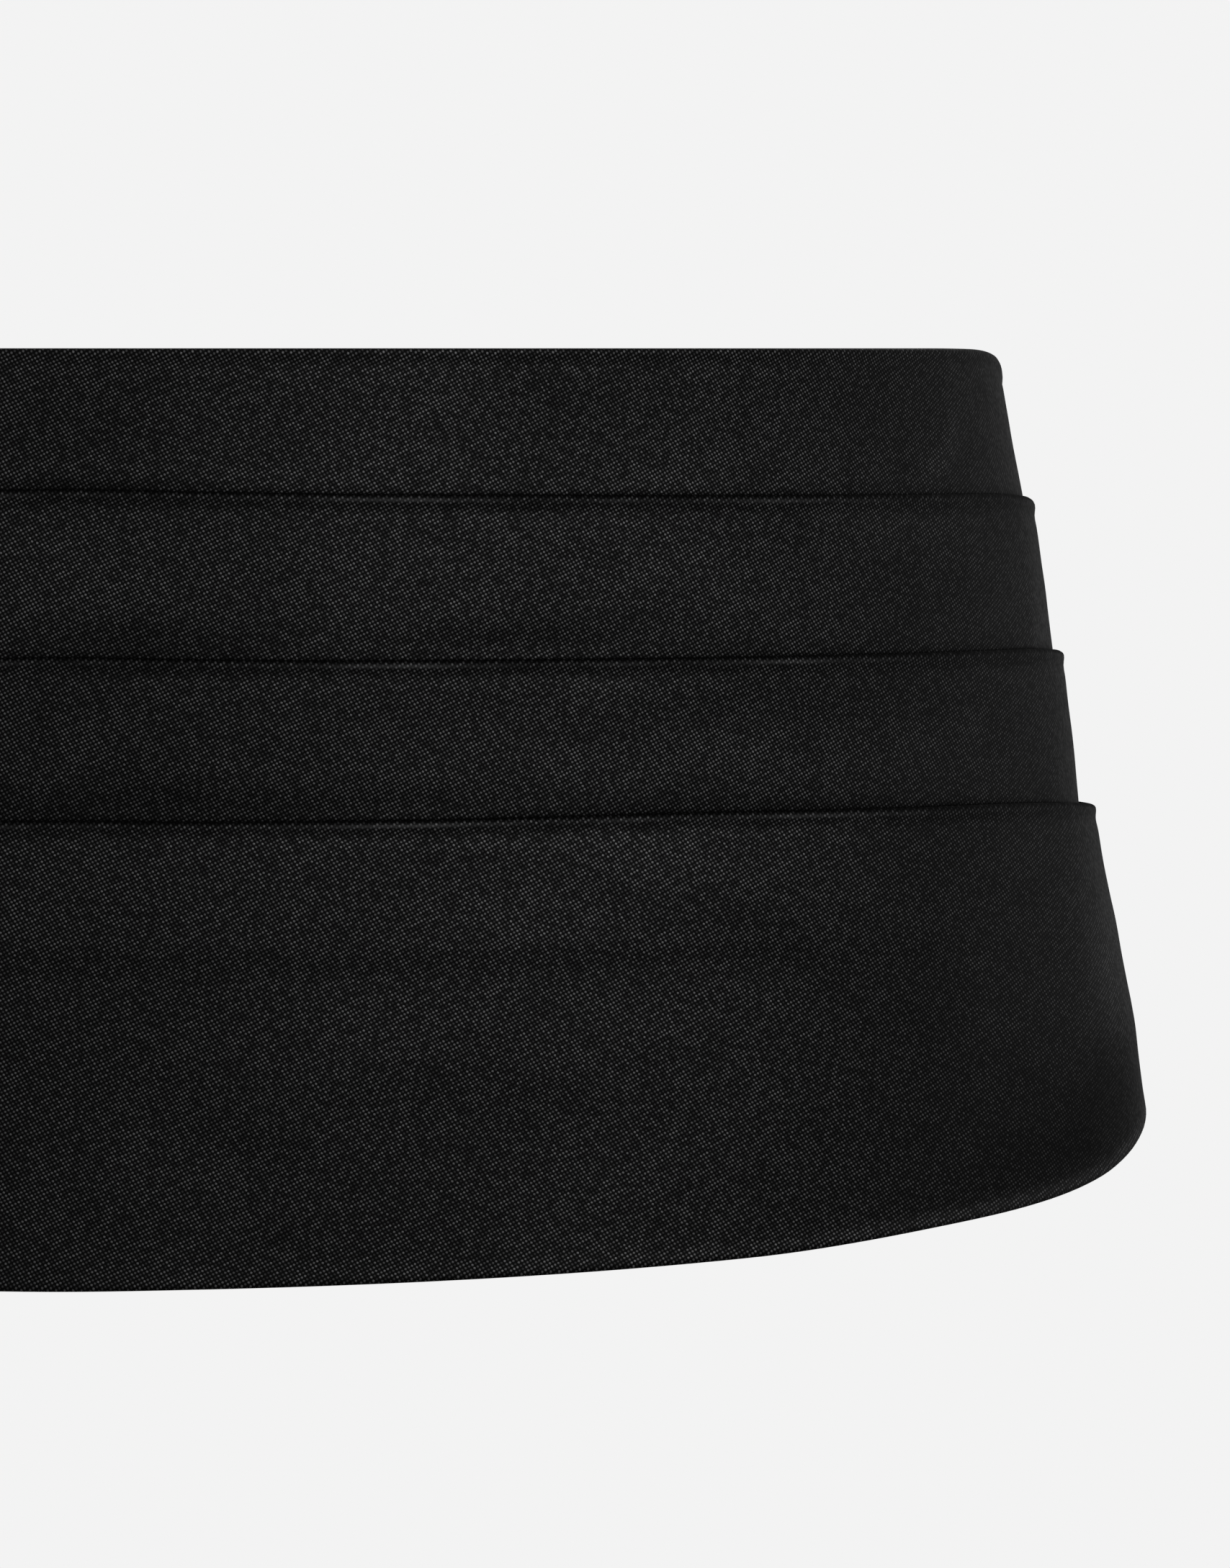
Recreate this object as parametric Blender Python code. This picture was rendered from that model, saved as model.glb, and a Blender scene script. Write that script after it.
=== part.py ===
"""Silk cummerbund: a wide pleated waist sash with a back strap and a slide buckle, filled out as it is worn.

Sizes are in millimetres and are turned to metres where a mesh is made. The front faces -Y, +X is to the
right as seen from the front, and +Z is up. The origin is the centre of the waist opening, level with the
middle of the straps. Three numbers place a point of the cloth: how far it lies round the waist from the
centre front, its depth below the top edge, and its stand, how far it lies outside the waist form.
"""

import math

import bmesh
import bpy
import numpy as np
from mathutils import Matrix, Vector

MM = 0.001

# Waist form: one level ring, which widens steadily downwards
RING_EXPONENT = 2.35  # 2 would be an ellipse, and more is squarer
RING_HALF_WIDTH = 140.9
RING_HALF_THICKNESS = 85.8
RING_DEPTH = 63.0  # where the two sizes above hold
SIDE_FLARE = 0.19  # outwards for each unit of depth, at the sides
FRONT_FLARE = 0.116  # the same at the centre front and back
RING_SAMPLES = 14400
PANEL_SAMPLES = 1200

# Cloth
WALL = 1.0
PLEAT_DEPTH = 18.5  # how far a band runs on behind the next one
PLEAT_SHARE = 0.88  # the most of the next band's height that this may take
SLIT = 0.35  # between the layers at the bottom of a pleat
PLEAT_JOIN = 1.0  # height of the folded bottom of a pleat
EDGE_ROUND = 0.9  # height over which a fold or a hem turns
EDGE_FACES = 4

# Front panel: its edges and the three folds that show, as depths at distances from the centre front
PANEL_COLUMNS = ("along", "top", "fold_1", "fold_2", "fold_3", "bottom")
PANEL_ROWS = (
    (0, 0.0, 19.1, 41.4, 63.1, 125.1),
    (45, 0.0, 19.6, 41.7, 62.9, 124.1),
    (90, 0.0, 19.8, 41.5, 62.1, 121.6),
    (118, 0.0, 19.75, 41.2, 61.8, 118.3),
    (135, 0.0, 19.8, 41.1, 61.8, 115.8),
    (150, 0.12, 20.1, 41.2, 62.0, 112.7),
    (165, 0.9, 20.6, 41.5, 62.4, 108.3),
    (178, 2.7, 21.3, 42.0, 62.6, 104.5),
    (220, 12.4, 26.4, 43.6, 60.6, 90.6),
    (260, 21.8, 32.4, 45.0, 57.4, 75.2),
    (300, 31.0, 38.5, 46.0, 53.5, 61.0),
)
PANEL = {name: np.array(values, float) for name, values in zip(PANEL_COLUMNS, zip(*PANEL_ROWS))}

# Bands between those folds, from the top one down: the stand of the outer face at three heights
BAND_COLUMNS = ("at_top", "half_way", "at_end")
BAND_ROWS = (
    (0.4, 0.1, 0.1),
    (1.4, 0.8, 0.2),
    (1.5, 0.7, -0.2),
    (1.9, 1.75, 1.65),
)
BANDS = [dict(zip(BAND_COLUMNS, row)) for row in BAND_ROWS]
RIDGE_DROP = 0.25  # the lowest band settles by this much below the last pleat
RIDGE_HEIGHT = 2.5

# Stations along the panel
STATIONS = 86
TURN_WEIGHT = 0.45  # share of the stations that goes to where the waist turns

# Straps
STRAP_WIDTH = 32.0
STRAP_LEVEL = 46.0  # depth of the straps' middle
STRAP_OVER_PANEL = 11.0  # how far a strap's sewn end covers the panel
STRAP_FALL = 14.0  # length in which it comes down from the panel
SEAM_GAP = 0.3
LAYER = WALL + SEAM_GAP  # from one layer of strap to the next
FOLD_BACK = 22.0  # strap turned back and sewn down behind the buckle's bar
TAIL_END = 56.0  # free end of the strap, from the centre back
TAIL_STEP = 6.0  # length in which the tail comes down off the turned-back end
PATH_STEP = 3.0  # between a strap's stations
BUCKLE_STEP = 1.2  # the same in and beside the buckle
BUCKLE_REACH = 26.0
TURN_STEP = 0.8

# Slide buckle: a flat frame with three upright bars, its middle one at the centre back
BAR_SPACING = 12.0
BAR_WIDTH = 2.4
BUCKLE_THICKNESS = 1.6
RAIL_HEIGHT = 2.5
SLOT_HEIGHT = STRAP_WIDTH + 1.0
FRAME_CORNER = 3.0
SLOT_CORNER = 0.8
BUCKLE_EDGE = 0.45
CORNER_FACES = 4
EDGE_SEGMENTS = 2
SMOOTH_ANGLE = 40  # degrees, below which shading runs smoothly over an edge
SOFTENED_ANGLE = 60
BAR_STAND = BUCKLE_THICKNESS / 2 + SEAM_GAP + WALL / 2  # of the bars' middle, above the strap's middle
ON_BAR = 0.4  # half the length of strap that lies flat against a bar
LOOP_CENTRE = BAR_SPACING - (BAR_WIDTH - BUCKLE_THICKNESS) / 2  # of the round turn at the outer bar
CUTTER_DEPTH = 4 * BUCKLE_THICKNESS

SATIN_BLACK = ((0.012, 0.012, 0.013, 1.0), 0.42, 0.0)
STRAP_BLACK = ((0.012, 0.012, 0.013, 1.0), 0.5, 0.0)
BUCKLE_STEEL = ((0.55, 0.56, 0.58, 1.0), 0.25, 1.0)


def ring_table():
    """Lengths and points round the ring, from the centre front towards +X."""
    turn = np.linspace(0, 2 * math.pi, RING_SAMPLES + 1)
    power = 2 / RING_EXPONENT
    x = RING_HALF_WIDTH * np.sign(np.sin(turn)) * np.abs(np.sin(turn)) ** power
    y = -RING_HALF_THICKNESS * np.sign(np.cos(turn)) * np.abs(np.cos(turn)) ** power
    length = np.concatenate([[0], np.cumsum(np.hypot(np.diff(x), np.diff(y)))])
    return length, x, y


RING_LENGTH, RING_X, RING_Y = ring_table()
PERIMETER = RING_LENGTH[-1]
CENTRE_BACK = PERIMETER / 2


def ring_normal(x, y):
    power = RING_EXPONENT - 1
    across = math.copysign((abs(x) / RING_HALF_WIDTH) ** power / RING_HALF_WIDTH, x)
    through = math.copysign((abs(y) / RING_HALF_THICKNESS) ** power / RING_HALF_THICKNESS, y)
    length = math.hypot(across, through)
    return across / length, through / length


def on_form(along, depth, stand):
    """The point in metres at this place round the waist, this depth and this stand."""
    along = along % PERIMETER
    x = float(np.interp(along, RING_LENGTH, RING_X))
    y = float(np.interp(along, RING_LENGTH, RING_Y))
    across, through = ring_normal(x, y)
    flare = SIDE_FLARE * across**2 + FRONT_FLARE * through**2
    out = flare * (depth - RING_DEPTH) + stand
    return Vector((x + across * out, y + through * out, STRAP_LEVEL - depth)) * MM


def smooth_through(at, knots, values):
    """A smooth curve through the values that never overshoots them, level at the first knot."""
    steps = np.diff(knots)
    slopes = np.diff(values) / steps
    tangents = np.zeros(len(knots))
    tangents[-1] = slopes[-1]
    for i in range(1, len(knots) - 1):
        if slopes[i - 1] * slopes[i] > 0:
            tangents[i] = 2 * slopes[i - 1] * slopes[i] / (slopes[i - 1] + slopes[i])
    i = int(np.clip(np.searchsorted(knots, at) - 1, 0, len(steps) - 1))
    t = (at - knots[i]) / steps[i]
    rise = t * t * (3 - 2 * t)
    value = values[i] * (1 - rise) + values[i + 1] * rise
    value += steps[i] * t * (1 - t) * ((1 - t) * tangents[i] - t * tangents[i + 1])
    return float(value)


def band_stand(band, depth, top, end):
    """Stand of a band's outer face at a depth between its top and its end."""
    share = (depth - top) / (end - top)
    return float(np.interp(share, (0, 0.5, 1), (band["at_top"], band["half_way"], band["at_end"])))


def turned_edge(top, inner, outer, down=1):
    """The rounded edge from the inner face over to the outer one. It is a hem where down is -1."""
    middle, half = (inner + outer) / 2, (outer - inner) / 2
    points = []
    for i in range(EDGE_FACES + 1):
        angle = math.pi * i / EDGE_FACES
        height = down * EDGE_ROUND * (1 - math.sin(angle))
        points.append((top + height, middle - half * math.cos(angle)))
    return points


def panel_profile(along):
    """The closed section of the front panel at this place, as (depth, stand) points."""
    lines = [smooth_through(abs(along), PANEL["along"], PANEL[name]) for name in PANEL_COLUMNS[1:]]
    ends = lines[1:]
    outer, inner = [], []
    for i, band in enumerate(BANDS):
        top, end = lines[i], ends[i]
        outer += turned_edge(top, band["at_top"] - WALL, band["at_top"])
        if i == len(BANDS) - 1:
            break
        outer.append(((top + end) / 2, band["half_way"]))
        # Behind the next band this one runs on to the bottom of the pleat
        below, below_end = BANDS[i + 1], ends[i + 1]
        bottom = end + min(PLEAT_DEPTH, PLEAT_SHARE * (below_end - end))
        face = band_stand(below, bottom, end, below_end)
        outer.append((end, band["at_end"]))
        outer.append((bottom, face - WALL - SLIT))
        outer.append((bottom, face - WALL))
        inner.append((end, band["at_end"] - WALL))
        inner.append((bottom, face - 2 * WALL - SLIT))
        inner.append((bottom + PLEAT_JOIN, face - WALL))
    # The lowest band lies over the last pleat, settles below it and ends in the hem
    settled = BANDS[-1]["half_way"] - RIDGE_DROP
    outer.append((bottom, BANDS[-1]["half_way"]))
    outer.append((bottom + RIDGE_HEIGHT, settled))
    outer.append(((bottom + end) / 2, (settled + BANDS[-1]["at_end"]) / 2))
    outer += reversed(turned_edge(end, BANDS[-1]["at_end"] - WALL, BANDS[-1]["at_end"], down=-1))
    inner.append((bottom + RIDGE_HEIGHT + PLEAT_JOIN, settled - WALL))
    inner.append(((bottom + end) / 2, (settled + BANDS[-1]["at_end"]) / 2 - WALL))
    return outer + inner[::-1]


def panel_stations():
    """Places along the panel, closer together where the waist turns."""
    reach = PANEL["along"][-1]
    along = np.linspace(-reach, reach, PANEL_SAMPLES + 1)
    x = np.interp(along % PERIMETER, RING_LENGTH, RING_X)
    y = np.interp(along % PERIMETER, RING_LENGTH, RING_Y)
    heading = np.unwrap(np.arctan2(np.gradient(y), np.gradient(x)))
    turned = np.concatenate([[0], np.cumsum(np.abs(np.diff(heading)))])
    share = (1 - TURN_WEIGHT) * (along + reach) / (2 * reach) + TURN_WEIGHT * turned / turned[-1]
    return np.interp(np.linspace(0, 1, STATIONS), share, along)


def loft(sections):
    """A closed body through equal rings of points, with a flat face at each end."""
    bm = bmesh.new()
    rings = [[bm.verts.new(point) for point in section] for section in sections]
    for ring, following in zip(rings, rings[1:]):
        for i in range(len(ring)):
            bm.faces.new((ring[i - 1], ring[i], following[i], following[i - 1]))
    bm.faces.new(rings[0])
    bm.faces.new(rings[-1][::-1])
    bmesh.ops.recalc_face_normals(bm, faces=bm.faces)
    return bm


def eased(at, knots):
    """A level curve at each knot, with a smooth wave between two of them."""
    places = [place for place, _ in knots]
    stands = [stand for _, stand in knots]
    i = int(np.clip(np.searchsorted(places, at) - 1, 0, len(places) - 2))
    t = (at - places[i]) / (places[i + 1] - places[i])
    rise = (1 - math.cos(math.pi * min(max(t, 0), 1))) / 2
    return stands[i] * (1 - rise) + stands[i + 1] * rise


def run(start, end, knots):
    """Points of a strap's middle line from one place at the back to another."""
    places = [start]
    heading = math.copysign(1, end - start)
    while abs(end - places[-1]) > PATH_STEP:
        step = BUCKLE_STEP if abs(places[-1]) < BUCKLE_REACH else PATH_STEP
        places.append(places[-1] + heading * step)
    places.append(end)
    return [(place, eased(place, knots)) for place in places]


def strap_body(path):
    """A strap of even width and thickness along its middle line, (place from the centre back, stand)."""
    line = np.array(path)
    heading = np.gradient(line, axis=0)
    heading /= np.hypot(heading[:, 0], heading[:, 1])[:, None]
    side = np.stack([-heading[:, 1], heading[:, 0]], axis=1) * WALL / 2
    edges = (STRAP_LEVEL - STRAP_WIDTH / 2, STRAP_LEVEL + STRAP_WIDTH / 2)
    sections = []
    for left, right in zip(line + side, line - side):
        corners = ((left, edges[0]), (left, edges[1]), (right, edges[1]), (right, edges[0]))
        sections.append([on_form(CENTRE_BACK - place, depth, stand) for (place, stand), depth in corners])
    return loft(sections)


def sewn_end(side):
    """Knots of a strap from its sewn end on the panel down to the waist form. side is 1 for +X."""
    panel_end = CENTRE_BACK - PANEL["along"][-1]
    over = max(band["at_top"] for band in BANDS) + SEAM_GAP + WALL / 2
    places = (panel_end + STRAP_OVER_PANEL, panel_end, panel_end - STRAP_FALL)
    return [(side * place, stand) for place, stand in zip(places, (over, over, 0.0))]


def looped_strap():
    """The -X strap, which goes round the buckle's outer bar and is sewn back on itself."""
    turn_centre = -LOOP_CENTRE
    under = sewn_end(-1) + [(turn_centre, 0.0)]
    path = run(under[0][0], turn_centre, under)
    turns = round(math.pi * BAR_STAND / TURN_STEP)
    for i in range(1, turns):
        angle = -math.pi / 2 + math.pi * i / turns
        path.append((turn_centre + BAR_STAND * math.cos(angle), BAR_STAND * (1 + math.sin(angle))))
    end = turn_centre - FOLD_BACK
    over = [(end, LAYER), (turn_centre - FOLD_BACK / 2, LAYER), (turn_centre, 2 * BAR_STAND)]
    return strap_body(path + run(turn_centre, end, over))


def threaded_strap():
    """The +X strap: over the near bar, under the middle one, over the far bar, and its free tail."""
    turn_centre = -LOOP_CENTRE
    fold_end = turn_centre - FOLD_BACK
    knots = [
        (-TAIL_END, LAYER),
        (fold_end - TAIL_STEP, LAYER),
        (fold_end - SEAM_GAP, 2 * LAYER),
        (turn_centre - FOLD_BACK / 2, 2 * LAYER),
        (turn_centre, 2 * BAR_STAND + LAYER),
        (-ON_BAR, 0.0),
        (ON_BAR, 0.0),
        (BAR_SPACING - ON_BAR, 2 * BAR_STAND),
        (BAR_SPACING + ON_BAR, 2 * BAR_STAND),
        (2 * BAR_SPACING, 0.0),
    ] + sewn_end(1)[::-1]
    return strap_body(run(knots[-1][0], -TAIL_END, knots))


def rounded_plate(width, height, thickness, corner):
    """A plate in the XZ plane, with its upright corner edges rounded."""
    bm = bmesh.new()
    bmesh.ops.create_cube(bm, size=1.0, matrix=Matrix.Diagonal((width * MM, thickness * MM, height * MM, 1)))
    corners = [edge for edge in bm.edges if abs(edge.verts[0].co.y - edge.verts[1].co.y) > thickness * MM / 2]
    bmesh.ops.bevel(
        bm, geom=corners, offset=corner * MM, segments=CORNER_FACES, profile=0.5, affect="EDGES", material=-1
    )
    return bm


def new_object(name, bm, material=None):
    mesh = bpy.data.meshes.new(name)
    bm.to_mesh(mesh)
    bm.free()
    mesh.shade_smooth()
    mesh.set_sharp_from_angle(angle=math.radians(SMOOTH_ANGLE))
    if material:
        mesh.materials.append(material)
    obj = bpy.data.objects.new(name, mesh)
    bpy.context.scene.collection.objects.link(obj)
    return obj


def new_material(name, finish):
    colour, roughness, metallic = finish
    material = bpy.data.materials.new(name)
    material.use_nodes = True
    shader = material.node_tree.nodes["Principled BSDF"]
    shader.inputs["Base Color"].default_value = colour
    shader.inputs["Roughness"].default_value = roughness
    shader.inputs["Metallic"].default_value = metallic
    return material


def make_front_panel(material):
    sections = []
    for along in panel_stations():
        sections.append([on_form(along, depth, stand) for depth, stand in panel_profile(along)])
    return new_object("front_panel", loft(sections), material)


def make_buckle(material):
    """One flat frame with two slots. It leans with the waist form at the centre back."""
    width = 2 * BAR_SPACING + BAR_WIDTH
    frame = rounded_plate(width, SLOT_HEIGHT + 2 * RAIL_HEIGHT, BUCKLE_THICKNESS, FRAME_CORNER)
    buckle = new_object("slide_buckle", frame, material)
    lean = Matrix.Rotation(math.atan(FRONT_FLARE), 4, "X")
    place = Matrix.Translation(on_form(CENTRE_BACK, STRAP_LEVEL, BAR_STAND)) @ lean
    buckle.matrix_world = place
    for side, name in ((-1, "slot_cutter_left"), (1, "slot_cutter_right")):
        slot = rounded_plate(BAR_SPACING - BAR_WIDTH, SLOT_HEIGHT, CUTTER_DEPTH, SLOT_CORNER)
        cutter = new_object(name, slot)
        cutter.matrix_world = place @ Matrix.Translation((side * BAR_SPACING / 2 * MM, 0, 0))
        cutter.hide_render = True
        cutter.display_type = "WIRE"
        cut = buckle.modifiers.new(name, "BOOLEAN")
        cut.operation = "DIFFERENCE"
        cut.object = cutter
    soften = buckle.modifiers.new("soft edges", "BEVEL")
    soften.width = BUCKLE_EDGE * MM
    soften.segments = EDGE_SEGMENTS
    soften.limit_method = "ANGLE"
    soften.angle_limit = math.radians(SOFTENED_ANGLE)
    return buckle


def main():
    for obj in list(bpy.data.objects):
        bpy.data.objects.remove(obj)
    satin = new_material("black satin", SATIN_BLACK)
    strap_cloth = new_material("black strap satin", STRAP_BLACK)
    make_front_panel(satin)
    new_object("strap_left", looped_strap(), strap_cloth)
    new_object("strap_right", threaded_strap(), strap_cloth)
    make_buckle(new_material("buckle steel", BUCKLE_STEEL))


main()
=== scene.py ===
import math
import random

import bmesh
import bpy
import numpy as np
from mathutils import Matrix, Vector, noise


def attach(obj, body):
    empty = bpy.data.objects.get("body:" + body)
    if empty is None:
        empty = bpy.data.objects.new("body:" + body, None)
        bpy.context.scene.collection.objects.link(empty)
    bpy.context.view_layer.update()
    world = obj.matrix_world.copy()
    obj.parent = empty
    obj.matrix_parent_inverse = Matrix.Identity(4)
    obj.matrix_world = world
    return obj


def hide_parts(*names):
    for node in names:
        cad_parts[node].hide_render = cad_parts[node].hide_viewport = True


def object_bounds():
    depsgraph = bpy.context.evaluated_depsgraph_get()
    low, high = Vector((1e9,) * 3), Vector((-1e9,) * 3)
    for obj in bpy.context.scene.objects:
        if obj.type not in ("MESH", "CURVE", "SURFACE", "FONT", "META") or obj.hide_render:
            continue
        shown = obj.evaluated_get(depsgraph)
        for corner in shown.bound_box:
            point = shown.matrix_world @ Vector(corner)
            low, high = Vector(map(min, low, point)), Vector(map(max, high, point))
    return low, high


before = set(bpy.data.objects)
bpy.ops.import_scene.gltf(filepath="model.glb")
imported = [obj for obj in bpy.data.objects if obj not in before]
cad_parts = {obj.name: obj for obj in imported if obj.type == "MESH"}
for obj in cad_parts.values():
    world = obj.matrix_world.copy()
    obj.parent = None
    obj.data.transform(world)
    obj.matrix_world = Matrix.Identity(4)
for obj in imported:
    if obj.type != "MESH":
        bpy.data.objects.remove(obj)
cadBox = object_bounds()
mm = 0.001

# The waist that fills the cloth out, as in the solids: a level ring that widens downwards
waist = {
    "squareness": 2.35,
    "halfWidth": 140.9,
    "halfThickness": 85.8,
    "ringDepth": 63.0,  # where the two sizes above hold
    "sideFlare": 0.19,
    "frontFlare": 0.116,
    "strapLevel": 46.0,  # depth of z = 0
    "samples": 14400,
}


def ringTable():
    turn = np.linspace(0, 2 * math.pi, waist["samples"] + 1)
    power = 2 / waist["squareness"]
    x = waist["halfWidth"] * np.sign(np.sin(turn)) * np.abs(np.sin(turn)) ** power
    y = -waist["halfThickness"] * np.sign(np.cos(turn)) * np.abs(np.cos(turn)) ** power
    return np.concatenate([[0], np.cumsum(np.hypot(np.diff(x), np.diff(y)))]), x, y


ringLength, ringX, ringY = ringTable()
perimeter = ringLength[-1]
centreBack = perimeter / 2


# Points in metres from arrays of place round the waist, depth below the top edge, and stand off the form
def onWaist(along, depth, stand):
    along, depth, stand = np.broadcast_arrays(*[np.asarray(a, float) for a in (along, depth, stand)])
    x = np.interp(along % perimeter, ringLength, ringX)
    y = np.interp(along % perimeter, ringLength, ringY)
    power = waist["squareness"] - 1
    across = np.sign(x) * (np.abs(x) / waist["halfWidth"]) ** power / waist["halfWidth"]
    through = np.sign(y) * (np.abs(y) / waist["halfThickness"]) ** power / waist["halfThickness"]
    size = np.hypot(across, through)
    across, through = across / size, through / size
    flare = waist["sideFlare"] * across**2 + waist["frontFlare"] * through**2
    out = flare * (depth - waist["ringDepth"]) + stand
    level = waist["strapLevel"] - depth
    return np.stack([x + across * out, y + through * out, level], axis=-1) * mm


# A smooth curve through a table's column that never overshoots it, level at the first row
def smoothThrough(at, knots, values):
    steps = np.diff(knots)
    slopes = np.diff(values) / steps
    tangents = np.zeros(len(knots))
    tangents[-1] = slopes[-1]
    for i in range(1, len(knots) - 1):
        if slopes[i - 1] * slopes[i] > 0:
            tangents[i] = 2 * slopes[i - 1] * slopes[i] / (slopes[i - 1] + slopes[i])
    i = np.clip(np.searchsorted(knots, at) - 1, 0, len(steps) - 1)
    t = (at - knots[i]) / steps[i]
    rise = t * t * (3 - 2 * t)
    bow = (1 - t) * tangents[i] - t * tangents[i + 1]
    return values[i] * (1 - rise) + values[i + 1] * rise + steps[i] * t * (1 - t) * bow


def smoothStep(value, low, high):
    t = np.clip((value - low) / (high - low), 0, 1)
    return t * t * (3 - 2 * t)


# A hump of height 1 round a middle value
def swell(value, middle, width):
    return np.exp(-((value - middle) / width) ** 2)


def addObject(name, bm, material):
    mesh = bpy.data.meshes.new(name)
    bm.to_mesh(mesh)
    bm.free()
    mesh.shade_smooth()
    mesh.materials.append(material)
    piece = bpy.data.objects.new(name, mesh)
    bpy.context.scene.collection.objects.link(piece)
    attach(piece, "root")
    return piece


def giveThickness(piece, name, thickness):
    wall = piece.modifiers.new(name, "SOLIDIFY")
    wall.thickness = thickness * mm
    wall.offset = 0.0


def softenEdges(piece, name, look):
    soften = piece.modifiers.new(name, "BEVEL")
    soften.width = look["edge"] * mm
    soften.segments = look["edgeSegments"]
    soften.limit_method = "ANGLE"
    soften.angle_limit = math.radians(look["edgeAngle"])
    return soften


# A grid whose points go to given places, with a UV map in metres of cloth and any other values by name
def clothGrid(places, lengthsAcross, lengthsDown, **values):
    rows, columns = places.shape[:2]
    bm = bmesh.new()
    bmesh.ops.create_grid(bm, x_segments=columns - 1, y_segments=rows - 1, size=0.5)
    uvLayer = bm.loops.layers.uv.new("cloth")
    layers = [(bm.verts.layers.float.new(name), table) for name, table in values.items()]
    spots = {}
    for vertex in bm.verts:
        column = round((vertex.co.x + 0.5) * (columns - 1))
        row = round((vertex.co.y + 0.5) * (rows - 1))
        spots[vertex.index] = (lengthsAcross[row, column], lengthsDown[row, column])
        vertex.co = places[row, column]
        for layer, table in layers:
            vertex[layer] = table[row, column]
    for face in bm.faces:
        for loop in face.loops:
            loop[uvLayer].uv = spots[loop.vert.index]
    return bm


# Shader maths as plain expressions: a number socket that adds its own Math nodes
class Number:
    def __init__(self, tree, socket):
        self.tree = tree
        self.socket = socket

    def math(self, operation, *others):
        node = self.tree.nodes.new("ShaderNodeMath")
        node.operation = operation
        for entry, item in zip(node.inputs, (self,) + others):
            if isinstance(item, Number):
                self.tree.links.new(item.socket, entry)
            else:
                entry.default_value = item
        return Number(self.tree, node.outputs[0])

    def swapped(self, operation, first):
        node = self.tree.nodes.new("ShaderNodeMath")
        node.operation = operation
        node.inputs[0].default_value = first
        self.tree.links.new(self.socket, node.inputs[1])
        return Number(self.tree, node.outputs[0])

    def __add__(self, other):
        return self.math("ADD", other)

    def __radd__(self, other):
        return self.swapped("ADD", other)

    def __sub__(self, other):
        return self.math("SUBTRACT", other)

    def __rsub__(self, other):
        return self.swapped("SUBTRACT", other)

    def __mul__(self, other):
        return self.math("MULTIPLY", other)

    def __rmul__(self, other):
        return self.swapped("MULTIPLY", other)

    def __pow__(self, other):
        return self.math("POWER", other)

    def clamped(self, low=0.0, high=1.0):
        return self.math("MAXIMUM", low).math("MINIMUM", high)

    # A hump of height 1 round a middle value
    def hump(self, middle, width):
        away = (self - middle) * (1 / width)
        return (away * away * -1).math("EXPONENT")

    # 0 below low, 1 above high, smooth between them
    def eased(self, low, high):
        t = ((self - low) * (1 / (high - low))).clamped()
        return t * t * (3 - 2 * t)


# One material under construction. node() makes any node: its type, settings, then values or links
class Finish:
    def __init__(self, name, constants):
        self.material = bpy.data.materials.new(name)
        self.material.use_nodes = True
        self.tree = self.material.node_tree
        self.shader = self.tree.nodes["Principled BSDF"]
        for socket, value in constants.items():
            self.shader.inputs[socket].default_value = value

    def node(self, kind, settings=None, **values):
        made = self.tree.nodes.new(kind)
        for setting, value in (settings or {}).items():
            setattr(made, setting, value)
        for socket, value in values.items():
            entry = made.inputs[socket.replace("_", " ")]
            if isinstance(value, Number):
                self.tree.links.new(value.socket, entry)
            elif isinstance(value, bpy.types.NodeSocket):
                self.tree.links.new(value, entry)
            else:
                entry.default_value = value
        return made

    def number(self, socket):
        return Number(self.tree, socket)

    def attribute(self, name):
        return self.number(self.node("ShaderNodeAttribute", {"attribute_name": name}).outputs["Fac"])

    def vector(self, x, y):
        return self.node("ShaderNodeCombineXYZ", X=x, Y=y, Z=0.0).outputs[0]

    def noise(self, place, scale, detail=2.0):
        return self.number(self.node("ShaderNodeTexNoise", {"noise_dimensions": "3D"}, Vector=place,
                                     Scale=scale, Detail=detail, Roughness=0.5).outputs["Fac"])

    def mixed(self, share, first, second):
        made = self.node("ShaderNodeMix", {"data_type": "RGBA"})
        self.tree.links.new(share.socket, made.inputs["Factor"])
        made.inputs[6].default_value = (*first, 1.0)
        made.inputs[7].default_value = (*second, 1.0)
        return made.outputs[2]

    def feed(self, socket, value):
        self.tree.links.new(value.socket if isinstance(value, Number) else value, self.shader.inputs[socket])

    def bumped(self, look, height):
        bump = self.node("ShaderNodeBump", Strength=look["bump"], Distance=look["bumpDepth"] * mm,
                         Height=height)
        self.feed("Normal", bump.outputs[0])


# Satin: grains of floating yarn in a slanted lattice, each one catching the light differently: the weave is
# the cloth's own pattern, and each grain's glint is painted into its colour
satin = {
    "dark": (0.0012, 0.0012, 0.0012),
    "bright": (0.235, 0.235, 0.238),
    "grainA": (1.79, -1.10),  # lattice waves for each millimetre along and down the cloth
    "grainB": (0.87, 1.79),
    "wander": 0.3,  # yarns don't lie quite straight
    "wanderScale": 0.3,
    "dotGain": 0.5,
    "luck": 0.8,  # the share of a grain's brightness that is its own luck
    "luckPower": 1.3,
    "floor": 0.015,  # what shows between the grains
    # The weave's painted glints fade to an even tone where the cloth turns away, between two distances from
    # the centre
    "evenGrain": 0.165,
    "fades": (95.0, 150.0),
    "fade": 0.40,
    "fadeEverywhere": 0.04,
    "strapFade": 0.5,
    "mottle": 0.7,
    "mottleScales": ((0.16, 3.0), (0.03, 2.0)),  # scale and detail
    "specular": 0.03,
    "gloss": 0.5,  # how metallic, so that the cloth shines and stays black
    "grazing": (0.65, 0.65, 0.65, 1.0),  # calms the rim at glancing angles
    "roughness": 0.45,
    "roughnessSpread": 0.12,
    "roughnessLimits": (0.2, 0.95),
    "bump": 0.3,
    "bumpDepth": 0.04,
    "bumpScale": 0.22,
    "bumpWaves": 6.0,
}
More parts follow.
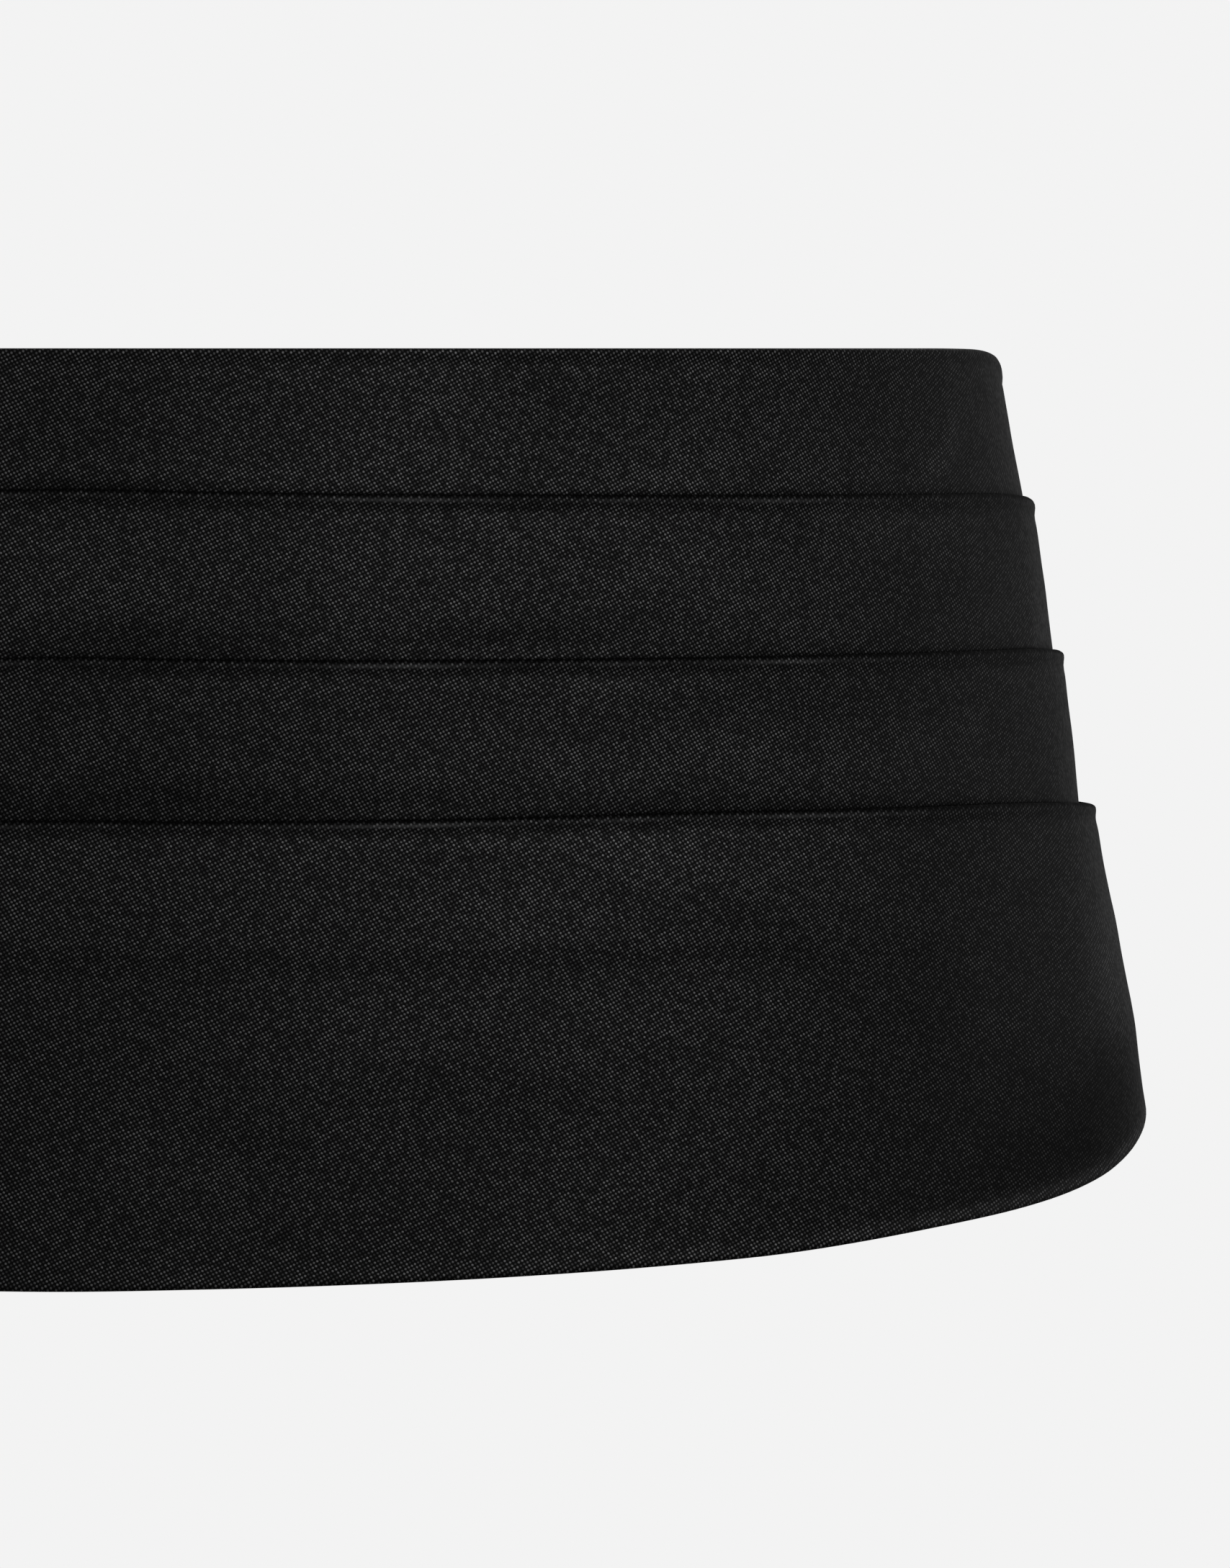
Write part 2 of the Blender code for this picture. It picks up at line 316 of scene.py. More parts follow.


# Painted shade and painted highlight at the pleat edges: distances in millimetres to the fold above and to
# the fold below
pleatShade = {
    "line": 0.93,  # how dark the fold's line is: painted shade in the gap of the fold
    "lineAt": 0.05,
    "lineWidth": 0.30,
    "lineRoughness": 0.3,
    "shoulder": 0.24,  # a painted highlight: the thin bright edge under it, where the fold's roll catches the light
    "shoulderAt": 0.62,
    "shoulderWidth": 0.2,
    "shoulderScale": 0.035,  # it comes and goes along the fold
    "shoulderPlace": 7.0,
    "shoulderRange": (0.35, 0.75),
    "strip": 0.14,  # painted shade: the darker strip under that
    "stripAt": 1.9,
    "stripWidth": 0.9,
    "shadow": 0.32,  # painted shadow: the cloth over a fold darkens towards it
    "shadowWidth": 1.2,
}


# Painted shade and highlight along the folds, multiplied into the cloth's colour
def paintedPleatShading(finish, look):
    below, above, patchShading = [finish.attribute(name) for name in ("below", "above", "tone")]
    line = below.hump(look["lineAt"], look["lineWidth"]) + above.hump(0.0, look["lineWidth"])
    line = line.clamped()
    shadow = look["shadow"] * above.hump(0.0, look["shadowWidth"])
    strip = look["strip"] * below.hump(look["stripAt"], look["stripWidth"])
    shoulder = look["shoulder"] * below.hump(look["shoulderAt"], look["shoulderWidth"])
    return (patchShading - shadow - strip) * (1 - look["line"] * line), line, shoulder


def satinFinish(name, look, turned=False, pleats=None):
    finish = Finish(name, {"Specular IOR Level": look["specular"], "Metallic": look["gloss"],
                           "Specular Tint": look["grazing"]})
    uv = finish.node("ShaderNodeUVMap", {"uv_map": "cloth"}).outputs[0]
    parts = finish.node("ShaderNodeSeparateXYZ", Vector=uv)
    along, down = (finish.number(parts.outputs[i]) * 1000 for i in ((1, 0) if turned else (0, 1)))
    flat = finish.vector(along, down)
    wander = (finish.noise(flat, look["wanderScale"]) - 0.5) * look["wander"]
    phases = [along * f[0] + down * f[1] + wander for f in (look["grainA"], look["grainB"])]
    waves = [(phase * (2 * math.pi)).math("COSINE") for phase in phases]
    cell = finish.vector(*[(phase + 0.5).math("FLOOR") for phase in phases])
    luck = finish.node("ShaderNodeTexWhiteNoise", {"noise_dimensions": "3D"}, Vector=cell).outputs[0]
    luck = finish.number(luck)
    dots = ((waves[0] + waves[1]) * look["dotGain"]).clamped()
    # Painted glints: each grain of the weave gets its own brightness in the colour
    weaveAndGlints = dots * (luck ** look["luckPower"] * look["luck"] + (1 - look["luck"])) + look["floor"]
    aslant = along.math("ABSOLUTE").eased(*look["fades"])
    even = look["fadeEverywhere"] + aslant * look["fade"] if pleats else look["strapFade"]
    weaveAndGlints = weaveAndGlints + even * (look["evenGrain"] - weaveAndGlints)
    fine, broad = [finish.noise(flat, scale, detail) for scale, detail in look["mottleScales"]]
    mottle = fine * 0.5 + broad * 0.5
    shown = weaveAndGlints * (mottle * look["mottle"] + 1 - look["mottle"] / 2)
    roughness = look["roughness"] + look["roughnessSpread"] * (0.5 - luck)
    if pleats:
        # painted shade and painted highlight at the pleats
        tone, line, shoulder = paintedPleatShading(finish, pleats)
        uneven = finish.noise(finish.vector(along, pleats["shoulderPlace"]), pleats["shoulderScale"])
        shown = shown * tone + shoulder * uneven.eased(*pleats["shoulderRange"]) * (1 - aslant)
        roughness = roughness + pleats["lineRoughness"] * line
    finish.feed("Base Color", finish.mixed(shown.clamped(), look["dark"], look["bright"]))
    finish.feed("Roughness", roughness.clamped(*look["roughnessLimits"]))
    height = weaveAndGlints + finish.noise(flat, look["bumpScale"], 3.0) * look["bumpWaves"]
    finish.bumped(look, height)
    return finish.material


metal = {
    "colour": (0.86, 0.87, 0.88),
    "worn": (0.62, 0.63, 0.65),
    "brushing": (900.0, 900.0, 60.0),  # waves to a metre, as are the clouds
    "cloudScale": 260.0,
    "brushedWear": 0.2,
    "cloudWear": 0.6,
    "roughness": 0.22,
    "brushedRoughness": 0.16,
    "cloudRoughness": 0.1,
    "roughnessLimits": (0.1, 0.6),
    "bump": 0.15,
    "bumpDepth": 0.02,
}


def metalFinish(name, look):
    finish = Finish(name, {"Metallic": 1.0})
    place = finish.node("ShaderNodeTexCoord").outputs["Object"]
    brushed = finish.node("ShaderNodeMapping", Vector=place, Scale=look["brushing"]).outputs[0]
    lines = finish.noise(brushed, 1.0, 3.0)
    clouds = finish.noise(place, look["cloudScale"], 3.0)
    wear = clouds * look["cloudWear"] + lines * look["brushedWear"]
    finish.feed("Base Color", finish.mixed(wear, look["colour"], look["worn"]))
    roughness = look["roughness"] + look["brushedRoughness"] * (lines - 0.5) + look["cloudRoughness"] * clouds
    finish.feed("Roughness", roughness.clamped(*look["roughnessLimits"]))
    finish.bumped(look, lines)
    return finish.material


yarn = {
    "dark": (0.012, 0.012, 0.012),
    "bright": (0.07, 0.07, 0.073),
    "specular": 0.5,
    "gloss": 0.3,
    "fibreScale": 2600.0,  # waves to a metre
    "roughness": 0.45,
    "roughnessSpread": 0.3,
}


def threadFinish(name, look):
    finish = Finish(name, {"Specular IOR Level": look["specular"], "Metallic": look["gloss"]})
    place = finish.node("ShaderNodeTexCoord").outputs["Object"]
    fibres = finish.noise(place, look["fibreScale"])
    finish.feed("Base Color", finish.mixed(fibres, look["dark"], look["bright"]))
    finish.feed("Roughness", (look["roughness"] + look["roughnessSpread"] * fibres).clamped())
    return finish.material


silk = satinFinish("black silk satin", satin, pleats=pleatShade)
strapSilk = satinFinish("black strap satin", satin, turned=True)
thread = threadFinish("black thread", yarn)
nickel = metalFinish("satin nickel", metal)
print("finishes made")

# The front: one cloth folded into three pleats that open upwards, with its long edges turned in
front = {
    "columns": ("along", "top", "fold1", "fold2", "fold3", "bottom"),
    "rows": (
        (0, 0.12, 18.9, 41.25, 63.0, 125.0),
        (18, 0.12, 19.25, 41.6, 63.2, 124.75),
        (45, 0.12, 19.6, 41.8, 63.05, 124.0),
        (90, 0.12, 19.85, 41.6, 62.3, 121.5),
        (118, 0.12, 19.95, 41.45, 62.2, 118.15),
        (135, 0.12, 20.0, 41.35, 62.1, 115.7),
        (150, 0.22, 20.1, 41.3, 62.3, 112.7),
        (165, 0.9, 20.5, 41.6, 62.8, 108.3),
        (178, 2.7, 21.4, 42.2, 63.4, 104.5),
        (200, 7.5, 23.8, 43.1, 63.6, 97.5),
        (220, 12.4, 26.4, 43.6, 61.9, 90.6),
        (260, 21.8, 32.4, 45.0, 57.4, 75.2),
        (300, 31.0, 38.5, 46.0, 53.5, 61.0),
    ),
    # Stand of each band's face at its top, half way down and at its end
    "stands": ((0.4, 0.1, 0.1), (1.4, 0.8, 0.2), (1.5, 0.7, -0.2), (1.9, 1.75, 1.65)),
    "clothThickness": 0.45,
    "foldGap": 0.6,  # between the middles of two folded layers
    "pleatDepth": 18.5,
    "pleatShare": 0.88,  # at most this share of the next band
    "pleatStart": 0.5,  # the cloth behind a fold starts this far under its edge
    "hem": 9.0,
    "stations": 240,
    "turnWeight": 0.35,  # stations lie closer together where the waist turns
    "bandRows": (22, 24, 24, 52),
    "hemRows": 6,
    "hiddenRows": 4,
    "roundRows": 5,
    "crowding": 0.75,  # rows lie closer together towards the folds
    "clothStep": 70.0,  # each band's place in the satin's pattern
    # A painted highlight where the turned lower edge catches the light towards the sides
    "rimReach": (30.0, 150.0),
    "rimAt": 0.8,
    "rimWidth": 1.1,
    "rimTone": 0.9,
    # Painted shade where the top edge turns away, over a slightly paler painted highlight
    "edgeLine": 0.9,
    "edgeWidth": 0.24,
    "edgeLift": 0.3,
    "liftAt": 1.0,
    "liftWidth": 0.6,
    # A fold's edge swells a little, with a faint hollow under it
    "rollHeight": 0.16,
    "rollAt": 0.4,
    "rollWidth": 0.7,
    "hollowShare": 0.55,
    "hollowAt": 2.0,
    "hollowWidth": 0.9,
    "creaseStart": 2.0,  # creases grow from a fold's edge over this depth
    # The lowest band settles below the last pleat, and its corners turn in under the side
    "ridgeDrop": 0.3,
    "ridgeRange": (-1.2, 1.8),
    "cornerRange": (100.0, 168.0),
    "cornerEase": 0.6,
    "easeRange": (190.0, 240.0),
    "tuck": 0.65,
    "tuckRange": (1.5, 16.0),
    # Even small waves, so that no stretch of cloth is quite flat
    "rippleLength": 19.0,
    "rippleDepth": 11.0,
    "rippleHeight": 0.10,
    "finerHeight": 0.05,
    "finerScale": 2.3,
}

# Soft creases and hollows: place along, depth, half length, half width, lean in degrees, height
creaseColumns = ("along", "depth", "length", "width", "lean", "height")
creases = (
    # right half of the front, as photographed
    (-2, 12.0, 9, 4.0, 4, -0.12),
    (8, 17.0, 16, 1.6, -1, 0.12),
    (136, 15.0, 6.5, 1.8, 45, 0.65),
    (122, 9.0, 14, 4.0, 86, -0.28),
    (-7, 27.0, 7, 4.5, 12, 0.18),
    (9, 39.5, 11, 2.6, -2, -0.30),
    (63, 39.8, 17, 2.4, 1, -0.32),
    (84, 31.0, 11, 5.0, -14, 0.22),
    (127, 30.0, 12, 4.2, 84, -0.30),
    (92, 50.0, 5, 3.5, 38, -0.20),
    (72, 49.0, 3, 5.0, 90, 0.15),
    (30, 48.0, 6, 4.0, 70, 0.14),
    (10, 60.5, 12, 2.8, -3, -0.36),
    (44, 61.0, 14, 2.0, 2, -0.20),
    (124, 52.0, 11, 4.5, 82, -0.26),
    (80, 72.0, 12, 7.0, -8, 0.26),
    (22, 71.0, 14, 6.0, 6, 0.18),
    (100, 86.0, 16, 5.0, -34, -0.24),
    (126, 84.0, 24, 6.0, 80, -0.50),
    (40, 96.0, 18, 6.0, 24, 0.16),
    (60, 108.0, 16, 7.0, -18, -0.18),
    (14, 104.0, 13, 6.0, -30, -0.18),
    (160, 30.0, 12, 4.0, 78, 0.18),
    (152, 78.0, 18, 5.0, 72, 0.26),
    (166, 98.0, 12, 14.0, 90, 0.50),
    (168, 72.0, 7, 14.0, 90, -0.20),
    # its left half
    (-36, 11.0, 12, 3.0, -10, 0.14),
    (-88, 9.0, 10, 3.5, 70, -0.20),
    (-131, 12.0, 7, 2.0, -62, 0.32),
    (-28, 40.0, 13, 2.4, 1, -0.30),
    (-74, 29.0, 12, 5.0, 16, 0.22),
    (-104, 39.5, 14, 2.6, 0, -0.28),
    (-52, 52.0, 6, 3.5, -40, -0.20),
    (-92, 61.0, 15, 2.4, -2, -0.30),
    (-20, 61.5, 9, 2.2, 2, -0.24),
    (-120, 54.0, 12, 4.5, -84, -0.28),
    (-46, 74.0, 13, 6.5, 10, 0.24),
    (-84, 90.0, 18, 6.0, 30, -0.24),
    (-124, 88.0, 22, 6.0, -78, -0.46),
    (-58, 106.0, 17, 6.5, -22, -0.18),
    (-24, 94.0, 14, 6.0, 34, 0.15),
    (-154, 76.0, 17, 5.0, -70, 0.28),
    (-167, 99.0, 13, 13.0, 90, 0.44),
    # right side, drawn together towards the strap
    (200, 17.0, 12, 2.6, -16, 0.39),
    (232, 22.0, 26, 2.6, -13, -0.91),
    (268, 29.0, 20, 1.8, -13, 0.78),
    (215, 35.5, 22, 2.4, -4, 0.59),
    (252, 38.5, 24, 2.0, -9, -0.78),
    (283, 41.3, 13, 1.5, -7, 0.65),
    (228, 53.0, 26, 2.6, 3, -0.65),
    (262, 50.5, 22, 1.8, 5, 0.65),
    (285, 49.2, 12, 1.4, 6, -0.59),
    (222, 71.0, 30, 4.5, 12, 1.04),
    (248, 68.0, 26, 3.0, 14, -1.17),
    (272, 62.0, 22, 2.2, 15, 0.91),
    (240, 80.0, 17, 2.8, 20, -0.78),
    (205, 87.0, 14, 5.0, 40, -0.78),
    (187, 57.0, 9, 3.2, 72, -0.20),
    (188, 80.0, 13, 4.0, 62, 0.18),
    # left side
    (-206, 19.0, 14, 2.4, 15, 0.44),
    (-240, 24.0, 24, 2.4, 13, -0.83),
    (-273, 30.5, 17, 1.8, 14, 0.73),
    (-221, 36.5, 20, 2.6, 5, 0.65),
    (-246, 37.0, 18, 1.8, 9, -0.73),
    (-278, 40.5, 15, 1.6, 8, 0.60),
    (-220, 52.0, 22, 2.4, -2, -0.68),
    (-257, 51.5, 24, 2.0, -4, 0.68),
    (-287, 49.5, 11, 1.4, -6, -0.55),
    (-214, 73.0, 24, 4.2, -10, 0.96),
    (-241, 70.5, 28, 3.2, -14, -1.12),
    (-268, 63.5, 20, 2.2, -16, 0.94),
    (-232, 82.0, 15, 2.8, -22, -0.73),
    (-196, 90.0, 13, 4.6, -38, -0.68),
    (-188, 33.0, 10, 3.0, -74, -0.20),
    (-186, 74.0, 14, 4.0, -64, 0.20),
)

# Soft patches of painted shade and painted highlight: darker above the folds and where the lower corners turn
# under, paler where the cloth catches the light; the same columns, and a change
toneColumns = ("along", "depth", "length", "width", "lean", "change")
tones = (
    (156, 103.5, 40, 11.5, 24, -0.54),
    (134, 46.0, 42, 15.0, 90, 0.17),
    (168, 82.0, 18, 9.0, 90, 0.30),
    (122, 92.0, 15, 16.0, 0, -0.16),
    (158, 86.0, 20, 3.0, 34, 0.14),
    (158, 50.0, 46, 16.0, 90, 0.14),
    (135, 15.2, 6.5, 1.5, 45, 0.42),
    (140, 16.5, 5.0, 2.2, 45, -0.12),
    (163, 37.5, 8, 4.0, 50, 0.22),
    (90, 103.0, 46, 15.0, 0, -0.14),
    (76, 8.0, 26, 9.0, 0, -0.12),
    (-10, 102.0, 48, 24.0, 0, -0.16),
    (45, 30.0, 72, 8.5, 0, 0.15),
    (60, 51.0, 60, 8.0, 0, 0.08),
    (0, 14.0, 18, 6.0, 0, -0.16),
    (10, 39.6, 15, 2.4, 0, -0.30),
    (66, 40.0, 26, 1.8, 1, -0.16),
    (6, 61.0, 28, 2.4, 0, -0.34),
    (88, 60.8, 26, 1.8, 1, -0.24),
    (6, 17.8, 12, 1.4, -1, -0.16),
    (116, 70.0, 26, 8.0, 30, -0.10),
    (68, 10.0, 17, 9.0, 0, -0.15),
    (103, 11.0, 13, 9.0, 0, 0.24),
    (100, 34.0, 14, 8.0, 0, 0.24),
    (82, 35.5, 9, 5.0, 0, 0.20),
    (-2, 29.0, 13, 7.0, 0, 0.16),
    (124, 23.5, 18, 4.0, 0, 0.26),
    (74, 56.5, 46, 4.0, 0, 0.20),
    (108, 56.0, 22, 5.0, 0, 0.18),
    (106, 72.0, 13, 10.0, 0, 0.22),
    (160, 88.0, 9, 9.0, 90, 0.42),
    (60, 117.0, 70, 5.5, 0, -0.12),
    (-96, 32.0, 34, 8.0, 4, 0.12),
    (-60, 39.8, 22, 2.2, 0, -0.26),
    (-104, 61.0, 24, 2.0, 0, -0.26),
    (-70, 80.0, 30, 12.0, -10, 0.10),
    (-148, 98.0, 34, 13.0, -24, -0.50),
    (-160, 44.0, 56, 8.0, 90, -0.14),
    (228, 50.0, 30, 9.0, 0, 0.10),
    (-234, 44.0, 26, 9.0, 0, 0.10),
)


# Sum of soft oval patches from a table, each with its last column as its size
def patches(columns, table, along, depth):
    total = np.zeros(np.broadcast(along, depth).shape)
    for row in table:
        patch = dict(zip(columns, row))
        lean = math.radians(patch["lean"])
        right, down = along - patch["along"], depth - patch["depth"]
        lengthwise = right * math.cos(lean) - down * math.sin(lean)
        crosswise = right * math.sin(lean) + down * math.cos(lean)
        total += row[-1] * np.exp(-(lengthwise / patch["length"]) ** 2 - (crosswise / patch["width"]) ** 2)
    return total


def ripple(along, depth):
    out = np.zeros(along.shape)
    apart = Vector((7, 3, 1))  # another place in the noise for the finer waves
    for index in np.ndindex(along.shape):
        spot = Vector((along[index] / front["rippleLength"], depth[index] / front["rippleDepth"], 0.0))
        finer = noise.noise(spot * front["finerScale"] + apart)
        out[index] = front["rippleHeight"] * noise.noise(spot) + front["finerHeight"] * finer
    return out


def relief(along, depth):
    return patches(creaseColumns, creases, along, depth) + ripple(along, depth)


# Places of the grid's columns along the waist
def frontStations():
    reach = front["rows"][-1][0]
    along = np.linspace(-reach, reach, 10 * front["stations"] + 1)
    x = np.interp(along % perimeter, ringLength, ringX)
    y = np.interp(along % perimeter, ringLength, ringY)
    heading = np.unwrap(np.arctan2(np.gradient(y), np.gradient(x)))
    turned = np.concatenate([[0], np.cumsum(np.abs(np.diff(heading)))])
    even = (along + reach) / (2 * reach)
    share = (1 - front["turnWeight"]) * even + front["turnWeight"] * turned / turned[-1]
    return np.interp(np.linspace(0, 1, front["stations"]), share, along)


# Middle of the cloth, without creases, where band number band shows
def bandStand(band, along, depth, lines):
    top, end = lines[band], lines[band + 1]
    share = np.clip((depth - top) / (end - top), 0, 1)
    atTop, halfWay, atEnd = front["stands"][band]
    bend = 2 * (halfWay - (atTop + atEnd) / 2)
    stand = atTop + (atEnd - atTop) * share + bend * 2 * share * (1 - share)
    roll = swell(depth - top, front["rollAt"], front["rollWidth"])
    hollow = swell(depth - top, front["hollowAt"], front["hollowWidth"])
    stand += front["rollHeight"] * (roll - front["hollowShare"] * hollow)
    if band == 3:
        corner = cornerShare(along)
        pastRidge = depth - top - front["pleatDepth"]
        stand += front["ridgeDrop"] * (1 - corner) * (1 - smoothStep(pastRidge, *front["ridgeRange"]))
        stand -= front["tuck"] * corner * (1 - smoothStep(end - depth, *front["tuckRange"]))
    return stand - front["clothThickness"] / 2


# 1 where the lower edge turns round the side, 0 at the front and less towards the back
def cornerShare(along):
    away = np.abs(along)
    eased = 1 - front["cornerEase"] * smoothStep(away, *front["easeRange"])
    return smoothStep(away, *front["cornerRange"]) * eased


def faceStand(band, along, depth, lines):
    grown = smoothStep(depth - lines[band], 0.0, front["creaseStart"]) if band else 1.0
    return bandStand(band, along, depth, lines) + grown * relief(along, depth)


def foldLines(along):
    table = {name: np.array(values, float) for name, values in zip(front["columns"], zip(*front["rows"]))}
    return [smoothThrough(np.abs(along), table["along"], table[name]) for name in front["columns"][1:]]


# For every point, row by row from the inner top hem to the inner lower one: its depth, its stand, its place
# down the cloth, and its distances to the fold above it and the fold below it
def frontRows(along, lines):
    gap = front["foldGap"]
    radius = gap / 2
    far = np.full(along.shape, 99.0)
    rows = []

    # One row. band is None where no fold is near
    def add(band, depth, stand, length):
        below = depth - lines[band] if band else far
        above = lines[band + 1] - depth if band is not None and band < 3 else far
        rows.append((depth, stand, length, below, above))

    # The rows of a flat layer, from one depth to another
    def layer(band, count, start, end, standAt, reference, sign=1):
        for t in np.linspace(0, 1, count):
            crowded = t + front["crowding"] * ((1 - math.cos(math.pi * t)) / 2 - t)
            depth = start + (end - start) * crowded
            add(band, depth, standAt(depth), reference + sign * depth)

    # The rows of a half round between two layers
    def turn(band, depth, stand, downwards, outwards, reference):
        for i in range(1, front["roundRows"]):
            angle = math.pi * i / front["roundRows"]
            reach, swing = radius * math.sin(angle), radius * (1 - math.cos(angle))
            add(band, depth + downwards * reach, stand + outwards * swing, reference + radius * angle)

    for band in range(4):
        def face(depth):
            return faceStand(band, along, depth, lines)

        def behind(depth):
            return face(depth) - gap

        top, end = lines[band], lines[band + 1]
        start = top + radius
        clothStart = band * front["clothStep"]
        if band == 0:
            layer(0, front["hemRows"], top + front["hem"], start, behind, clothStart + top, -1)
        else:
            layer(None, front["hiddenRows"], bottom, start, behind, clothStart + top, -1)
        turn(band, start, behind(start), -1, 1, clothStart - radius * math.pi)
        last = end - radius if band == 3 else end
        layer(band, front["bandRows"][band], start, last, face, clothStart - start)
        if band == 3:
            turn(3, last, face(last), 1, -1, clothStart + last - start)
            hemEnd = end - front["hem"]
            layer(None, front["hemRows"], last, hemEnd, behind, clothStart + 2 * last - start, -1)
            break
        # Down behind the next band, and round at the bottom of the pleat
        room = front["pleatShare"] * (lines[band + 2] - end)
        bottom = end + np.minimum(front["pleatDepth"], room) - radius
        upper = bandStand(band, along, end, lines)
        lower = bandStand(band + 1, along, bottom, lines) - 2 * gap

        def under(depth):
            return upper + (lower - upper) * (depth - end) / (bottom - end) + relief(along, depth)

        layer(band, front["hiddenRows"], end + front["pleatStart"], bottom, under, clothStart - start)
        turn(band, bottom, under(bottom), 1, 1, clothStart + bottom - start)
    return [np.array([np.broadcast_to(item, along.shape) for item in column]) for column in zip(*rows)]


def makeFront():
    along = frontStations()
    lines = foldLines(along)
    depth, stand, length, below, above = frontRows(along, lines)
    places = onWaist(along[None, :], depth, stand)
    across = np.broadcast_to(along * mm, depth.shape)
    # Painted highlight along the turned lower edge
    lit = smoothStep(np.abs(along), *front["rimReach"])
    rim = lit * swell(lines[4] - depth, front["rimAt"], front["rimWidth"])
    # Painted shade and painted highlight from the patches table
    tone = 1 + patches(toneColumns, tones, along[None, :], depth) + front["rimTone"] * rim
    # Painted highlight and painted shade at the top edge
    tone += front["edgeLift"] * swell(depth, lines[0] + front["liftAt"], front["liftWidth"])
    tone *= 1 - front["edgeLine"] * swell(depth, lines[0], front["edgeWidth"])
    bm = clothGrid(places, across, length * mm, below=below, above=above, tone=tone)
    piece = addObject("pleatedFront", bm, silk)
    giveThickness(piece, "cloth thickness", front["clothThickness"])
    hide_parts("front_panel")
    return piece


frontPiece = makeFront()
print("front folded")

# The straps: a flat tube of satin each, led round and through the buckle as in the solids
strap = {
    "width": 32.0,
    "thickness": 1.0,
    "panelStand": 1.9,  # the front's own stand under the sewn ends
    "overPanel": 11.0,
    "fall": 14.0,
    "seamGap": 0.3,
    "foldBack": 22.0,
    "tailEnd": 56.0,
    "tailStep": 6.0,
    "step": 1.0,
    "widthFaces": 32,
    "loopSteps": 12,
    "onBar": 0.4,
    "edge": 0.32,
    "edgeSegments": 3,
    "edgeAngle": 60,
}
# The same columns as the front's creases, from the centre back: all layers of a strap share them
strapCreases = (
    (-27, 38.0, 9, 3.0, 12, 0.30),
    (-38, 51.0, 12, 2.6, -9, -0.34),
    (-46, 41.0, 7, 2.4, 18, 0.26),
    (-24, 56.0, 6, 2.6, -30, 0.22),
    (26, 52.0, 10, 2.8, -14, 0.34),
    (37, 40.5, 12, 2.6, 8, -0.32),
    (45, 50.0, 8, 2.4, -6, 0.28),
    (24, 36.5, 6, 2.4, 26, -0.24),
)
buckle = {
    "barSpacing": 12.0,
    "barWidth": 2.4,
    "thickness": 1.6,
    "rail": 2.5,
    "slotHeight": 33.0,
    "corner": 3.0,
    "cornerSegments": 6,
    "edge": 0.7,
    "edgeSegments": 4,
    "edgeAngle": 50,
}
layerStep = strap["thickness"] + strap["seamGap"]
barStand = buckle["thickness"] / 2 + strap["seamGap"] + strap["thickness"] / 2
loopCentre = buckle["barSpacing"] - (buckle["barWidth"] - buckle["thickness"]) / 2
panelEnd = centreBack - front["rows"][-1][0]
sewnStand = strap["panelStand"] + strap["seamGap"] + strap["thickness"] / 2


# A strap's path from knots of place along and stand
def eased(at, knots):
    places = [place for place, _ in knots]
    i = int(np.clip(np.searchsorted(places, at) - 1, 0, len(places) - 2))
    t = min(max((at - places[i]) / (places[i + 1] - places[i]), 0), 1)
    rise = (1 - math.cos(math.pi * t)) / 2
    return knots[i][1] * (1 - rise) + knots[i + 1][1] * rise


def run(start, end, knots):
    count = max(2, round(abs(end - start) / strap["step"]) + 1)
    return [(place, eased(place, knots)) for place in np.linspace(start, end, count)]


def sewnEnd(side):
    places = (panelEnd + strap["overPanel"], panelEnd, panelEnd - strap["fall"])
    return [(side * place, stand) for place, stand in zip(places, (sewnStand, sewnStand, 0.0))]


def loopedPath():
    under = sewnEnd(-1) + [(-loopCentre, 0.0)]
    path = run(under[0][0], -loopCentre, under)
    for i in range(1, strap["loopSteps"]):
        angle = -math.pi / 2 + math.pi * i / strap["loopSteps"]
        path.append((-loopCentre + barStand * math.cos(angle), barStand * (1 + math.sin(angle))))
    end = -loopCentre - strap["foldBack"]
    halfWay = -loopCentre - strap["foldBack"] / 2
    over = [(end, layerStep), (halfWay, layerStep), (-loopCentre, 2 * barStand)]
    return path + run(-loopCentre, end, over)


def threadedPath():
    foldEnd = -loopCentre - strap["foldBack"]
    onBar = strap["onBar"]
    knots = [
        (-strap["tailEnd"], layerStep),
        (foldEnd - strap["tailStep"], layerStep),
        (foldEnd - strap["seamGap"], 2 * layerStep),
        (-loopCentre - strap["foldBack"] / 2, 2 * layerStep),
        (-loopCentre, 2 * barStand + layerStep),
        (-onBar, 0.0),
        (onBar, 0.0),
        (buckle["barSpacing"] - onBar, 2 * barStand),
        (buckle["barSpacing"] + onBar, 2 * barStand),
        (2 * buckle["barSpacing"], 0.0),
    ] + sewnEnd(1)[::-1]
    return run(knots[-1][0], -strap["tailEnd"], knots)


def makeStrap(name, path, node):
    line = np.array(path)
    lengths = np.concatenate([[0], np.cumsum(np.hypot(*np.diff(line, axis=0).T))])
    half = strap["width"] / 2
    depth = np.linspace(-half, half, strap["widthFaces"] + 1) + waist["strapLevel"]
    relaxed = line[None, :, 1] + patches(creaseColumns, strapCreases, line[None, :, 0], depth[:, None])
    places = onWaist(centreBack - line[None, :, 0], depth[:, None], relaxed)
    across = np.broadcast_to(lengths * mm, places.shape[:2])
    down = np.broadcast_to(depth[:, None] * mm, places.shape[:2])
    piece = addObject(name, clothGrid(places, across, down), strapSilk)
    giveThickness(piece, "strap thickness", strap["thickness"])
    softenEdges(piece, "pressed edges", strap)
    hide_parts(node)
    return piece, lengths[-1] * mm


strapLeft, lengthLeft = makeStrap("strapLoop", loopedPath(), "strap_left")
strapRight, lengthRight = makeStrap("strapTail", threadedPath(), "strap_right")
print("straps threaded")


